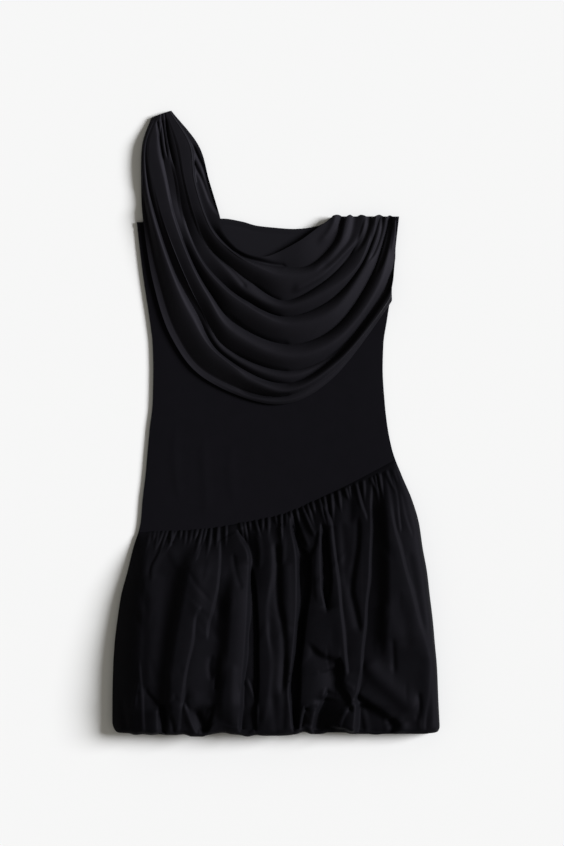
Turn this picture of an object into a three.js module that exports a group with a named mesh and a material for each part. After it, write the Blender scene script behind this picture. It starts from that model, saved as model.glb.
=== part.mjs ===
import * as THREE from "three";

// A one-shoulder dress lying flat on its back.
// X runs to the right of the picture, Y up the dress and Z up from the surface it lies on, in mm.

// Cloth
const wall = 1.4;
const half = wall / 2;
const seamGap = 0.3;

// Bodice
const bodiceColumns = 21;
const bodiceRows = 10;
const bodiceCrown = 1.2;
const sideRoundness = 8;
const backFlatness = 1.06;

// Skirt
const gathers = 42;
const skirtColumns = gathers * 2;
const skirtShares = [0, 0.04, 0.12, 0.26, 0.42, 0.58, 0.74, 0.88, 1];
const hemStrips = 4;
const hemLow = -437;
const hemRadiusX = 12;
const hemRadiusY = 8;
const frontHemRadiusZ = 8;
const backHemRadiusZ = 2.5;
const hemReturn = 25;
const foldFade = 28;

// Drape
const stripsPerStation = 3;
const stripsPerFold = 4;
const strapEnd = 3;
const drapeThickest = 2;
const strapFoot = 292;
const strapClear = 312;

// Side edges of the whole dress
// y, left edge, right edge
const sides = [
  [-437, -230, 229],
  [-394, -230, 227],
  [-344, -229, 225],
  [-310, -227, 222],
  [-276, -223, 219],
  [-243, -218, 215],
  [-209, -209, 211],
  [-176, -201, 205],
  [-142, -191, 200],
  [-108, -188, 190],
  [-75, -184, 176],
  [-41, -181, 163],
  [-8, -178, 156],
  [26, -174, 152],
  [76, -173, 149],
  [110, -174, 150],
  [144, -178, 155],
  [177, -183, 160],
  [211, -188, 164],
  [244, -192, 167],
  [289, -197, 172],
];

// Slanting hip seam
// share of the width from the left, y
const hipSeam = [
  [0, -153],
  [0.22, -149],
  [0.36, -140],
  [0.51, -128],
  [0.66, -105],
  [0.83, -78],
  [1, -51],
];

// Top edge of the bodice, from the underarm past the neckline to the other underarm
// share of the width from the left, y
const topEdge = [
  [0, 281],
  [0.03, 281],
  [0.33, 286],
  [0.4, 282],
  [0.46, 276],
  [0.52, 273.5],
  [0.6, 271.5],
  [0.64, 272.3],
  [0.7, 276.5],
  [0.73, 283.5],
  [0.75, 289],
  [1, 289],
];

// Height of the skirt down its length
// share of the way down, height of the side seams, rise of the front over them, depth of the gathers
const skirtHeights = [
  [0, 1.55, 1.2, 0.8],
  [0.04, 1.8, 7, 2.4],
  [0.12, 2.4, 14, 2],
  [0.26, 3.8, 20, 1],
  [0.42, 5.2, 24, 0.3],
  [0.58, 6.5, 26, 0],
  [0.74, 7.6, 27, 0],
  [0.88, 8.5, 27, 0],
  [1, 9, 25, 0],
];

// Folds of the skirt front
// x and y at the top, the middle and the foot, reach to the left, reach to the right, height
const frontFolds = [
  [-174, -192, -173, -284, -177, -374, 14, 10, 5],
  [-124, -164, -139, -248, -160, -424, 9, 10, -6],
  [-107, -265, -121, -326, -132, -419, 14, 10, 5],
  [-82, -148, -85, -227, -97, -299, 11, 9, 5],
  [-68, -234, -72, -304, -76, -374, 9, 9, -5],
  [-47, -158, -41, -248, -50, -428, 13, 7, 6],
  [-38, -158, -28, -276, -27, -410, 7, 9, -6],
  [-12, -150, -13, -262, -12, -388, 11, 8, 6],
  [18, -130, 27, -234, 18, -388, 12, 7, 6],
  [30, -150, 38, -276, 27, -424, 7, 10, -7],
  [61, -158, 51, -220, 50, -304, 9, 8, 5],
  [66, -172, 72, -220, 71, -260, 7, 8, -6],
  [64, -113, 85, -234, 97, -355, 11, 8, 6],
  [82, -326, 84, -374, 89, -416, 12, 13, -6],
  [117, -102, 130, -206, 110, -419, 13, 8, 6],
  [135, -94, 143, -206, 145, -312, 7, 9, -6],
  [152, -78, 178, -206, 211, -374, 13, 9, 6],
  [124, -382, 152, -402, 170, -422, 16, 16, -5],
];

// Folds of the skirt back, which stand up off the surface as shallow grooves
// x and y at the top, the middle and the foot, reach to the left, reach to the right, height
const backFolds = [
  [-150, -170, -156, -280, -168, -420, 9, 9, 2.2],
  [-96, -165, -88, -270, -94, -420, 8, 9, 2.4],
  [-44, -160, -52, -260, -46, -420, 9, 8, 2.2],
  [8, -150, 2, -250, 12, -420, 8, 9, 2.5],
  [58, -135, 66, -260, 60, -420, 9, 9, 2.2],
  [108, -120, 118, -250, 122, -420, 8, 8, 2.4],
  [150, -100, 170, -240, 182, -420, 9, 9, 2.2],
];

// Guide lines of the drape from the shoulder down the strap, round the swag and up to the right side
// share of the fold height, then x and y at eleven stations
const drapeGuides = [
  [0.2, -147.7, 437.5, -109, 388.5, -94.5, 339.5, -80, 290.5, -74, 266.7, -50, 241,
    -21.7, 232.4, -2, 236.6, 33, 255, 58, 273, 79, 287.7],
  [1, -150.5, 436.5, -122, 388.5, -116, 339.5, -101, 289, -84, 258.3, -55, 233,
    -26.6, 217, 10.5, 204.4, 55, 213, 87.5, 247, 99.4, 287.7],
  [0.9, -155, 435, -140.7, 388.5, -131, 339.5, -117.6, 289, -99, 244.3, -69, 213,
    -40, 183.4, 10.5, 162.4, 69, 185, 114, 222, 139.3, 287.7],
  [0.9, -159, 433.6, -154, 388.5, -142, 339.5, -136.5, 289, -110, 231.7, -83, 196,
    -47, 166, 13.3, 137, 76, 155.4, 123, 217, 152.6, 287.7],
  [1, -163, 432, -170, 388.5, -159, 339.5, -145.6, 287, -122.5, 225.4, -97, 177,
    -62, 127, 13.3, 93, 84, 117, 140, 189.7, 167.3, 285],
  [0.4, -166.7, 431, -180, 388.5, -174.3, 339.5, -161, 285.6, -135, 217.7, -108.5, 161.7,
    -73.5, 101, 10.5, 64.4, 85.4, 98, 149, 178.5, 166, 224.7],
  [1, -170, 429.7, -184.7, 388.5, -184, 339.5, -173, 285, -148, 209.3, -120.4, 148.4,
    -81, 93, 6, 45, 83, 82.6, 151.3, 164.5, 163.5, 198],
  [0, -175.7, 427.7, -188.3, 390, -190, 339.5, -186, 285, -172, 198, -140.3, 119,
    -98, 65, -0.7, 25, 77, 60, 154.7, 159.6, 159.7, 175.7],
];

// Shape of the drape along its stations
// fold height, bulge of the strap, share of a fold at which its valley lies
const drapeStations = [
  [0.7, 5, 0.5],
  [2, 8, 0.5],
  [2.8, 8, 0.5],
  [4, 6, 0.6],
  [5, 2.5, 0.65],
  [6, 0.5, 0.7],
  [7, 0, 0.7],
  [7, 0, 0.63],
  [6, 0, 0.4],
  [4.5, 0, 0.4],
  [2.5, 0, 0.4],
];

const clamp = THREE.MathUtils.clamp;
const lerp = THREE.MathUtils.lerp;

// Smooth step from 0 at the first value to 1 at the second.
function ramp(from, to, x) {
  const t = clamp((x - from) / (to - from), 0, 1);
  return t * t * (3 - 2 * t);
}

// Value of one column of a table at x: a cubic through its rows that never overshoots them.
function readTable(table, column, x) {
  const last = table.length - 1;
  const at = clamp(x, table[0][0], table[last][0]);
  let i = 0;
  while (i < last - 1 && table[i + 1][0] < at) i++;
  const step = (k) => (table[k + 1][column] - table[k][column]) / (table[k + 1][0] - table[k][0]);
  const slope = (k) => {
    if (k === 0) return step(0);
    if (k === last) return step(last - 1);
    const before = step(k - 1);
    const after = step(k);
    return before * after <= 0 ? 0 : (2 * before * after) / (before + after);
  };
  const width = table[i + 1][0] - table[i][0];
  const t = (at - table[i][0]) / width;
  const rise = table[i + 1][column] - table[i][column];
  const a = slope(i) * width - rise;
  const b = -slope(i + 1) * width + rise;
  return table[i][column] + t * rise + t * (1 - t) * (a * (1 - t) + b * t);
}

// Place across the dress: X for a share of the width at a height y, drawn in from both sides by inset.
function across(share, y, inset = 0) {
  const left = readTable(sides, 1, y) + inset;
  const right = readTable(sides, 2, y) - inset;
  return lerp(left, right, share);
}

// Rise of a panel over its side edges: 0 at the sides and 1 over most of the width.
function sideRise(share) {
  return 1 - Math.abs(2 * share - 1) ** sideRoundness;
}

// A closed wall between two grids of points of the same size, with strips that join their rims.
function wallBetween(name, material, upper, lower) {
  const rows = upper.length;
  const columns = upper[0].length;
  const points = [...upper.flat(), ...lower.flat()];
  const top = (i, j) => i * columns + j;
  const under = (i, j) => rows * columns + top(i, j);
  const faces = [];
  const quad = (a, b, c, d) => faces.push(a, b, c, a, c, d);
  for (let i = 0; i < rows - 1; i++) {
    for (let j = 0; j < columns - 1; j++) {
      quad(top(i, j), top(i, j + 1), top(i + 1, j + 1), top(i + 1, j));
      quad(under(i, j), under(i + 1, j), under(i + 1, j + 1), under(i, j + 1));
    }
    quad(top(i, 0), top(i + 1, 0), under(i + 1, 0), under(i, 0));
    quad(under(i, columns - 1), under(i + 1, columns - 1), top(i + 1, columns - 1), top(i, columns - 1));
  }
  for (let j = 0; j < columns - 1; j++) {
    quad(under(0, j), under(0, j + 1), top(0, j + 1), top(0, j));
    quad(top(rows - 1, j), top(rows - 1, j + 1), under(rows - 1, j + 1), under(rows - 1, j));
  }
  const turned = volumeOf(points, faces) < 0;
  const geometry = new THREE.BufferGeometry();
  geometry.setAttribute("position", new THREE.Float32BufferAttribute(points.flat(), 3));
  geometry.setIndex(turned ? faces.reverse() : faces);
  geometry.computeVertexNormals();
  const mesh = new THREE.Mesh(geometry, material);
  mesh.name = name;
  return mesh;
}

// Signed volume inside a closed set of triangles.
function volumeOf(points, faces) {
  const a = new THREE.Vector3();
  const b = new THREE.Vector3();
  const c = new THREE.Vector3();
  let volume = 0;
  for (let i = 0; i < faces.length; i += 3) {
    a.fromArray(points[faces[i]]);
    b.fromArray(points[faces[i + 1]]);
    c.fromArray(points[faces[i + 2]]);
    volume += a.dot(b.cross(c)) / 6;
  }
  return volume;
}

// Grid of points from a function of row and column.
function gridOf(rows, columns, place) {
  return Array.from({ length: rows }, (_, i) => Array.from({ length: columns }, (_, j) => place(i, j)));
}

// Underside of the bodice front, which lies on the bodice back.
function bodiceFrontFloor(share) {
  return wall + seamGap + bodiceCrown * sideRise(share);
}

// Bodice panel from the hip seam to the top edge, with its underside at the height floor(share).
function bodicePanel(name, material, floor) {
  const place = (lift) => (i, j) => {
    const share = j / bodiceColumns;
    const bottom = readTable(hipSeam, 1, share) + seamGap / 2;
    const y = lerp(bottom, readTable(topEdge, 1, share), i / bodiceRows);
    return [across(share, y), y, floor(share) + lift];
  };
  const upper = gridOf(bodiceRows + 1, bodiceColumns + 1, place(wall));
  const lower = gridOf(bodiceRows + 1, bodiceColumns + 1, place(0));
  return wallBetween(name, material, upper, lower);
}

// Height of a fold table at x, y: each fold is a rounded ridge or trough along its curved centre line.
function foldHeight(folds, x, y) {
  let height = 0;
  for (const [x1, y1, x2, y2, x3, y3, left, right, rise] of folds) {
    const centre =
      (x1 * (y - y2) * (y - y3)) / ((y1 - y2) * (y1 - y3)) +
      (x2 * (y - y1) * (y - y3)) / ((y2 - y1) * (y2 - y3)) +
      (x3 * (y - y1) * (y - y2)) / ((y3 - y1) * (y3 - y2));
    const reach = x < centre ? left : right;
    const length = ramp(y1 + foldFade / 2, y1 - foldFade / 2, y) * ramp(y3 - foldFade, y3, y);
    height += rise * length * Math.exp(-(((x - centre) / reach) ** 2));
  }
  return height;
}

// Rows of a skirt panel: down from the hip seam, round the hem and a little way back up inside.
function skirtRows() {
  const rows = skirtShares.map((down) => ({ down, turn: 0, back: 0 }));
  for (let i = 1; i <= hemStrips; i++) rows.push({ down: 1, turn: (Math.PI * i) / hemStrips, back: 0 });
  rows.push({ down: 1, turn: Math.PI, back: hemReturn });
  return rows;
}

// Middle of the wall of a skirt panel at a share of the width and a row.
function skirtPoint(front, share, { down, turn, back }) {
  const hemCentre = hemLow + half + hemRadiusY;
  const level = lerp(readTable(hipSeam, 1, share) - seamGap / 2, hemCentre, down);
  const y = level - hemRadiusY * Math.sin(turn) + back;
  const curl = 1 - Math.cos(turn);
  const x = across(share, y, hemRadiusX * curl);
  const sideSeam = readTable(skirtHeights, 1, down);
  const gather = readTable(skirtHeights, 3, down) * (0.5 - 0.5 * Math.cos(2 * Math.PI * gathers * share));
  const held = sideRise(share) * ramp(0, 0.1, down) * (1 - curl / 2);
  const standOff = seamGap / 2 + half * Math.abs(Math.cos(turn));
  if (front) {
    const rise = readTable(skirtHeights, 2, down) - frontHemRadiusZ * curl;
    const folds = foldHeight(frontFolds, x, y) * held + gather * sideRise(share);
    return [x, y, sideSeam + standOff + rise * sideRise(share) + folds];
  }
  const drop = sideSeam - seamGap / 2 - wall - backHemRadiusZ * curl;
  const folds = foldHeight(backFolds, x, y) * held + gather * 0.5 * sideRise(share);
  return [x, y, sideSeam - standOff - drop * Math.min(1, backFlatness * sideRise(share)) + folds];
}

// Direction across the wall at one point of a grid. The hip edge and the side edges stand upright.
function wallDirection(points, rows, i, j) {
  const lastRow = points.length - 1;
  const lastColumn = points[0].length - 1;
  if (j === 0 || j === lastColumn) return new THREE.Vector3(0, -Math.sin(rows[i].turn), Math.cos(rows[i].turn));
  if (i === 0) return new THREE.Vector3(0, 0, 1);
  const point = (a, b) => new THREE.Vector3().fromArray(points[a][b]);
  const along = point(i, j + 1).sub(point(i, j - 1));
  const down = point(i - 1, j).sub(point(Math.min(i + 1, lastRow), j));
  return along.cross(down).normalize();
}

// Skirt panel: the front arches up over the side seams, the back hangs below them and lies flat.
function skirtPanel(name, material, front) {
  const rows = skirtRows();
  const middle = gridOf(rows.length, skirtColumns + 1, (i, j) => skirtPoint(front, j / skirtColumns, rows[i]));
  const facing = front ? 1 : -1;
  const place = (side) => (i, j) => {
    const direction = wallDirection(middle, rows, i, j);
    if (!front && (j === 0 || j === skirtColumns)) direction.z *= -1;
    if (!front && j > 0 && j < skirtColumns) direction.multiplyScalar(rows[i].turn > 0 ? 1 : -1);
    return direction.multiplyScalar(side * half).add(new THREE.Vector3().fromArray(middle[i][j])).toArray();
  };
  const outer = gridOf(rows.length, skirtColumns + 1, place(facing));
  const inner = gridOf(rows.length, skirtColumns + 1, place(-facing));
  return wallBetween(name, material, outer, inner);
}

// Place on a guide line of the drape at a station number, on a smooth curve through its stations.
function guidePlace(guide, station) {
  const stations = drapeStations.length;
  const i = Math.min(Math.floor(station), stations - 2);
  const t = station - i;
  const at = (k, axis) => {
    const inside = clamp(k, 0, stations - 1);
    return guide[1 + 2 * inside + axis];
  };
  return [0, 1].map((axis) => {
    const [a, b, c, d] = [i - 1, i, i + 1, i + 2].map((k) => at(k, axis));
    return 0.5 * (2 * b + (c - a) * t + (2 * a - 5 * b + 4 * c - d) * t * t + (3 * b - a - 3 * c + d) * t ** 3);
  });
}

// Value of one column of the drape's station table at a station number.
function stationValue(station, column) {
  const i = Math.min(Math.floor(station), drapeStations.length - 2);
  return lerp(drapeStations[i][column], drapeStations[i + 1][column], station - i);
}

// Height of what lies under the drape: the bodice front, and above it the back of the strap.
function drapeFloor(x, y) {
  const left = readTable(sides, 1, y);
  const share = clamp((x - left) / (readTable(sides, 2, y) - left), 0, 1);
  const overFront = bodiceFrontFloor(share) + wall + seamGap;
  return lerp(overFront, wall + seamGap, ramp(strapFoot, strapClear, y));
}

// Underside of the drape at a column and a station: its folds and the strap's bulge over what it lies on.
// Four strips make a fold: from a ridge down one flank to the valley, and up the other to the next ridge.
function drapePoint(j, station) {
  const fold = Math.min(Math.floor(j / stripsPerFold), drapeGuides.length - 2);
  const strip = j - stripsPerFold * fold;
  const valley = stationValue(station, 2);
  const share = [0, valley / 2, valley, (1 + valley) / 2, 1][strip];
  const depth = [1, 0.5, 0, 0.5, 1][strip];
  const [x1, y1] = guidePlace(drapeGuides[fold], station);
  const [x2, y2] = guidePlace(drapeGuides[fold + 1], station);
  const x = lerp(x1, x2, share);
  const y = lerp(y1, y2, share);
  const ridge = drapeGuides[strip > stripsPerFold / 2 ? fold + 1 : fold][0];
  const spread = j / (stripsPerFold * (drapeGuides.length - 1));
  const bulge = stationValue(station, 1) * (1 - (2 * spread - 1) ** 2);
  return [x, y, drapeFloor(x, y) + stationValue(station, 0) * depth * ridge + bulge];
}

// Drape: a sheet in deep swags, drawn together over the strap and caught along the right side.
function drapeFront(material) {
  const rows = (drapeStations.length - 1) * stripsPerStation + 1;
  const columns = (drapeGuides.length - 1) * stripsPerFold + 1;
  const lower = gridOf(rows, columns, (i, j) => drapePoint(j, i / stripsPerStation));
  const upper = gridOf(rows, columns, (i, j) => {
    const [x, y, z] = lower[i][j];
    const slopes = [j - 1, j + 1].map((k) => {
      const other = lower[i][clamp(k, 0, columns - 1)];
      const apart = Math.hypot(other[0] - x, other[1] - y);
      return apart > 0 ? Math.abs(other[2] - z) / apart : 0;
    });
    return [x, y, z + wall * Math.min(Math.hypot(1, Math.max(...slopes)), drapeThickest)];
  });
  return wallBetween("drape_front", material, upper, lower);
}

// Back of the strap: a flat strip under the drape, from the shoulder to the bodice back's top edge.
function strapBack(material) {
  const rows = 11;
  const columns = 7;
  const neck = drapeGuides[0];
  const armhole = drapeGuides[drapeGuides.length - 1];
  const place = (z) => (i, j) => {
    const station = (strapEnd * i) / (rows - 1);
    const [x1, y1] = guidePlace(armhole, station);
    const [x2, y2] = guidePlace(neck, station);
    const x = lerp(x1, x2, j / (columns - 1));
    const left = readTable(sides, 1, strapFoot);
    const share = (x - left) / (readTable(sides, 2, strapFoot) - left);
    const foot = readTable(topEdge, 1, share) + seamGap;
    return [x, i === rows - 1 ? foot : Math.max(foot, lerp(y1, y2, j / (columns - 1))), z];
  };
  return wallBetween("strap_back", material, gridOf(rows, columns, place(wall)), gridOf(rows, columns, place(0)));
}

// Cloth materials
const bodiceJersey = new THREE.MeshStandardMaterial({ color: 0x121114, roughness: 0.9, metalness: 0 });
const drapeJersey = new THREE.MeshStandardMaterial({ color: 0x16161a, roughness: 0.65, metalness: 0 });
const skirtWeave = new THREE.MeshStandardMaterial({ color: 0x141418, roughness: 0.75, metalness: 0 });

const dress = new THREE.Group();
dress.name = "one_shoulder_dress";
dress.add(
  bodicePanel("bodice_back", bodiceJersey, () => 0),
  bodicePanel("bodice_front", bodiceJersey, bodiceFrontFloor),
  strapBack(bodiceJersey),
  drapeFront(drapeJersey),
  skirtPanel("skirt_back", skirtWeave, false),
  skirtPanel("skirt_front", skirtWeave, true),
);

// The origin is under the middle of the dress.
const box = new THREE.Box3().setFromObject(dress);
const middle = box.getCenter(new THREE.Vector3());
for (const piece of dress.children) piece.geometry.translate(-middle.x, -middle.y, -box.min.z);

export default dress;
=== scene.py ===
import math

import bpy
import numpy as np
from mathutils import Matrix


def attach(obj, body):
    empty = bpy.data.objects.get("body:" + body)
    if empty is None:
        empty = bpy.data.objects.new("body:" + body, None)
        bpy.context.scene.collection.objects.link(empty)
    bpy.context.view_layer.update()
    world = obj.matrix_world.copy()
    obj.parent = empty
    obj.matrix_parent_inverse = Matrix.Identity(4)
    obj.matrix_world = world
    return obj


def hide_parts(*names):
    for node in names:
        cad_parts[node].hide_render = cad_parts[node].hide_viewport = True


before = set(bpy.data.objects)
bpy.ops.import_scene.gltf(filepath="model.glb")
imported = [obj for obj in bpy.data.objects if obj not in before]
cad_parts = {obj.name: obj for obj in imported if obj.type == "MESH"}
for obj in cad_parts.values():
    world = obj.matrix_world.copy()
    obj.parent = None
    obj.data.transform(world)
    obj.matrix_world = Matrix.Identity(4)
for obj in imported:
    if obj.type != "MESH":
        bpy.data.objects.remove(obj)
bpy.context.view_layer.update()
print("frame loaded")

# In millimetres, like a paper pattern laid flat; clothMesh moves it by the shift and scales it into
# the frame. Folds are read off the picture, in its pixels.
pattern = {
    "shift": (0.7, -0.25, 0.0), "pictureMiddle": (276.5, 422.5), "pixel": 1.4,
    "seamGap": 0.3, "cadWall": 1.4, "sideRoundness": 8,
    # y, left edge, right edge
    "sides": [
        (-437, -230, 229), (-394, -230, 227), (-344, -229, 225), (-310, -227, 222),
        (-276, -223, 219), (-243, -218, 215), (-209, -209, 211), (-176, -201, 205),
        (-142, -191, 200), (-108, -188, 190), (-75, -184, 176), (-41, -181, 163), (-8, -178, 156),
        (26, -174, 152), (76, -173, 149), (110, -174, 150), (144, -178, 155), (177, -183, 160),
        (211, -188, 164), (244, -192, 167), (289, -197, 172),
    ],
    # share of the width, y
    "hipSeam": [
        (0, -153), (0.22, -149), (0.36, -140), (0.51, -128), (0.66, -105), (0.83, -78), (1, -51),
    ],
    "topEdge": [
        (0, 281), (0.03, 281), (0.33, 286), (0.4, 282), (0.46, 276), (0.52, 273.5), (0.6, 271.5),
        (0.64, 272.3), (0.7, 276.5), (0.73, 283.5), (0.75, 289), (1, 289),
    ],
}
# steps: samples from point to point of a line; spans: how far a fold is worked out, in reaches;
# ends: share of the reach left at both ends, and the rest
foldForm = {
    "steps": 5, "softSpan": 2.6, "crestSpan": 2.4, "hollowSpan": 4.6, "softEnds": (0.5, 0.5),
    "sharpEnds": (0.45, 0.55), "uneven": (0.4, 17, 29), "hollowRest": 0.01,
}


def ramp(start, end, x):
    # smooth step: 3t^2 - 2t^3 with t running from 0 at start to 1 at end
    t = np.clip((x - start) / (end - start), 0, 1)
    return t * t * (3 - 2 * t)


def readTable(table, x, column=1):
    # cubic through the rows, its slope there the harmonic mean of those beside: it never overshoots
    rows = np.array(table, float)
    at, values = rows[:, 0], rows[:, column]
    x = np.clip(x, at[0], at[-1])
    step = np.diff(values) / np.diff(at)
    before, after = step[:-1], step[1:]
    same = before * after > 0
    middle = np.where(same, 2 * before * after / np.where(same, before + after, 1), 0)
    slope = np.concatenate([step[:1], middle, step[-1:]])
    i = np.clip(np.searchsorted(at, x, side="left") - 1, 0, len(at) - 2)
    width = at[i + 1] - at[i]
    rise = values[i + 1] - values[i]
    t = (x - at[i]) / width
    a = slope[i] * width - rise
    b = rise - slope[i + 1] * width
    return values[i] + t * rise + t * (1 - t) * (a * (1 - t) + b * t)


def across(share, y, inset=0):
    # x at a share of the width between the two side edges at height y, each drawn in by inset
    left = readTable(pattern["sides"], y, 1) + inset
    right = readTable(pattern["sides"], y, 2) - inset
    return left + (right - left) * share


def sideRise(share):
    # 1 - |2s - 1|^n: 0 at both sides and 1 over most of the width
    return 1 - np.abs(2 * share - 1) ** pattern["sideRoundness"]


def frontRise(share, x, y):
    # on the left a flank 1 - (1 - t)^n from the side to the edge of the first panel; on the right
    # 1 - |2s - 1|^n, with the whole front falling a little towards it
    flank, edge = skirt["frontRoundness"]
    start = readTable(pattern["sides"], y, 1)
    width = np.maximum(readTable(skirt["flankEdge"], y) - start, skirt["leastFlank"])
    t = np.clip((x - start) / width, 0, 1)
    right = 1 - np.abs(np.clip(2 * share - 1, 0, 1)) ** edge
    fallStart, fall = skirt["rightFall"]
    return (1 - (1 - t) ** flank) * right * (1 - fall * ramp(fallStart, 1, share))


def smoothPath(points, steps):
    # Catmull-Rom curve through the points, with this many samples from each one to the next
    p = np.array(points, float)
    p = np.concatenate([2 * p[:1] - p[1:2], p, 2 * p[-1:] - p[-2:-1]])
    t = (np.arange(steps) / steps)[None, :, None]
    a, b, c, d = (p[k:len(p) - 3 + k, None] for k in range(4))
    square, cube = (2 * a - 5 * b + 4 * c - d) * t**2, (3 * b - a - 3 * c + d) * t**3
    curve = 0.5 * (2 * b + (c - a) * t + square + cube)
    return np.concatenate([curve.reshape(-1, p.shape[1]), p[-2:-1]])


def besidePath(x, y, points, reach):
    # points of the grid within reach of a curved line, with their signed distance from it, their
    # distance along it and its length; the first is positive to the left of the way the line runs
    path = smoothPath(points, foldForm["steps"])
    low, high = path.min(0) - reach, path.max(0) + reach
    near = (x > low[0]) & (x < high[0]) & (y > low[1]) & (y < high[1])
    start, span = path[:-1], np.diff(path, axis=0)
    length = np.hypot(span[:, 0], span[:, 1])
    run = np.concatenate([[0], np.cumsum(length)])
    dx = x[near][:, None] - start[None, :, 0]
    dy = y[near][:, None] - start[None, :, 1]
    t = np.clip((dx * span[:, 0] + dy * span[:, 1]) / length**2, 0, 1)
    away = np.hypot(dx - t * span[:, 0], dy - t * span[:, 1])
    best = away.argmin(1)
    pick = np.arange(len(best))
    turn = (span[:, 0] * dy - span[:, 1] * dx)[pick, best]
    distance = np.where(turn > 0, 1, -1) * away[pick, best]
    return near, distance, run[best] + (t * length)[pick, best], run[-1]


def fades(along, length, fadeIn, fadeOut):
    # 0 at both ends of a line and 1 between them, by a smooth step over each fade
    return ramp(0, fadeIn, along) * ramp(0, fadeOut, length - along)


def softFold(x, y, fold):
    # rounded ridge or trough: h exp(-(d / reach)^2), with a reach for each side, faded at both ends
    points, height, reachRight, reachLeft, fadeIn, fadeOut = fold
    total = np.zeros(x.shape)
    span = foldForm["softSpan"] * max(reachRight, reachLeft)
    near, distance, along, length = besidePath(x, y, points, span)
    ends = fades(along, length, fadeIn, fadeOut)
    least, rest = foldForm["softEnds"]
    reach = np.where(distance > 0, reachLeft, reachRight) * (least + rest * ends)
    total[near] = height * ends * np.exp(-((distance / reach) ** 2))
    return total


def sharpFold(x, y, fold):
    # folded crest: rise exp(-(d / gentle)^2) on one side and rise exp(-(d / steep)^2) on the other,
    # less a hollow depth (1 - exp(-(d / steep)^2)) exp(-d / hollow) there, on the left for side 1.
    # The hollow's reach changes evenly along the line, and the steepness by a product of two sines.
    points, side, rise, gentle, depth, steep, hollow, fadeIn, fadeOut = fold
    total = np.zeros(x.shape)
    span = max(foldForm["crestSpan"] * gentle, foldForm["hollowSpan"] * max(hollow))
    near, distance, along, length = besidePath(x, y, points, span)
    distance = distance * side
    width = hollow[0] + (hollow[1] - hollow[0]) * along / length
    ends = fades(along, length, fadeIn, fadeOut)
    least, rest = foldForm["sharpEnds"]
    taper = least + rest * ends
    amount, first, second = foldForm["uneven"]
    waves = np.sin(along / first + points[0][0]), np.sin(along / second + points[0][1])
    uneven = 1 + amount * waves[0] * waves[1]
    rising = rise * np.exp(-((distance / (gentle * taper)) ** 2))
    falling = np.exp(-((distance / (steep * taper * uneven)) ** 2))
    fading = np.exp(-np.abs(distance) / (width * taper)) - foldForm["hollowRest"]
    hollowed = depth * (1 - falling) * fading
    total[near] = ends * np.where(distance < 0, rising, rise * falling - hollowed)
    return total


def fromPicture(folds):
    # folds with their points turned from pixels of the picture into millimetres, to a tenth
    (left, top), pixel = pattern["pictureMiddle"], pattern["pixel"]
    return [
        ([(round((x - left) * pixel, 1), round((top - y) * pixel, 1)) for x, y in points], *form)
        for points, *form in folds
    ]


def foldSum(x, y, folds, kind):
    # sum of all folds of a list, each worked out by the function given
    return sum(kind(x, y, fold) for fold in folds)


def sheetNormals(points):
    # unit normal at each grid point: cross product of the steps along its row and down its column
    along = np.gradient(points, axis=1)
    down = np.gradient(points, axis=0)
    normal = np.cross(along, down)
    return normal / np.linalg.norm(normal, axis=-1, keepdims=True)


def clothMesh(name, upper, lower, uv, slotName, nodeName, material, crease=60):
    # closed sheet: two grids of points as its faces, and strips of quads round the four rims, all
    # turned outwards by the sign of their volume; edges over the crease angle stay sharp
    rows, columns = upper.shape[:2]
    count = rows * columns
    points = np.concatenate([upper.reshape(-1, 3), lower.reshape(-1, 3)])
    grid = np.arange(count).reshape(rows, columns)
    corners = [grid[:-1, :-1], grid[:-1, 1:], grid[1:, 1:], grid[1:, :-1]]
    top = np.stack(corners, -1).reshape(-1, 4)
    rim = np.concatenate([grid[0, :-1], grid[:-1, -1], grid[-1, :0:-1], grid[:0:-1, 0]])
    after = np.roll(rim, -1)
    sides = np.stack([after, rim, rim + count, after + count], -1)
    quads = np.concatenate([top, top[:, ::-1] + count, sides])
    a, b, c, d = (points[quads[:, k]] for k in range(4))
    volume = (a * np.cross(b, c)).sum() + (a * np.cross(c, d)).sum()
    if volume < 0:
        quads = quads[:, ::-1]
    mesh = bpy.data.meshes.new(name)
    mesh.from_pydata(((points + pattern["shift"]) / 1000).tolist(), [], quads.tolist())
    flatUv = np.tile(uv.reshape(-1, 2), (2, 1)) / 1000
    layer = mesh.uv_layers.new(name="cut")
    layer.data.foreach_set("uv", flatUv[quads.reshape(-1)].reshape(-1).astype(np.float32))
    mesh.polygons.foreach_set("use_smooth", np.ones(len(quads), bool))
    mesh.update()
    mesh.set_sharp_from_angle(angle=math.radians(crease))
    mesh.validate()
    piece = bpy.data.objects.new(name, mesh)
    bpy.context.scene.collection.objects.link(piece)
    mesh.materials.append(material)
    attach(piece, "root")
    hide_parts(nodeName)
    return piece


# Shader maths: a Wire is a node's output, and its operators add Math nodes
class Wire:
    def __init__(self, shader, socket):
        self.shader = shader
        self.socket = socket

    def combine(self, operation, first, second):
        return self.shader.node("ShaderNodeMath", {"operation": operation}, {0: first, 1: second})

    def __add__(self, other):
        return self.combine("ADD", self, other)

    def __sub__(self, other):
        return self.combine("SUBTRACT", self, other)

    def __rsub__(self, other):
        return self.combine("SUBTRACT", other, self)

    def __mul__(self, other):
        return self.combine("MULTIPLY", self, other)

    __radd__ = __add__
    __rmul__ = __mul__


class ClothShader:
    def __init__(self, name):
        self.material = bpy.data.materials.new(name)
        self.material.use_nodes = True
        self.tree = self.material.node_tree
        self.surface = self.tree.nodes["Principled BSDF"]

    def feed(self, socket, value):
        if isinstance(value, Wire):
            self.tree.links.new(value.socket, socket)
        else:
            socket.default_value = value

    def node(self, kind, settings, sockets, output=0):
        made = self.tree.nodes.new(kind)
        for setting, value in settings.items():
            setattr(made, setting, value)
        for socket, value in sockets.items():
            self.feed(made.inputs[socket], value)
        return Wire(self, made.outputs[output])


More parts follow.
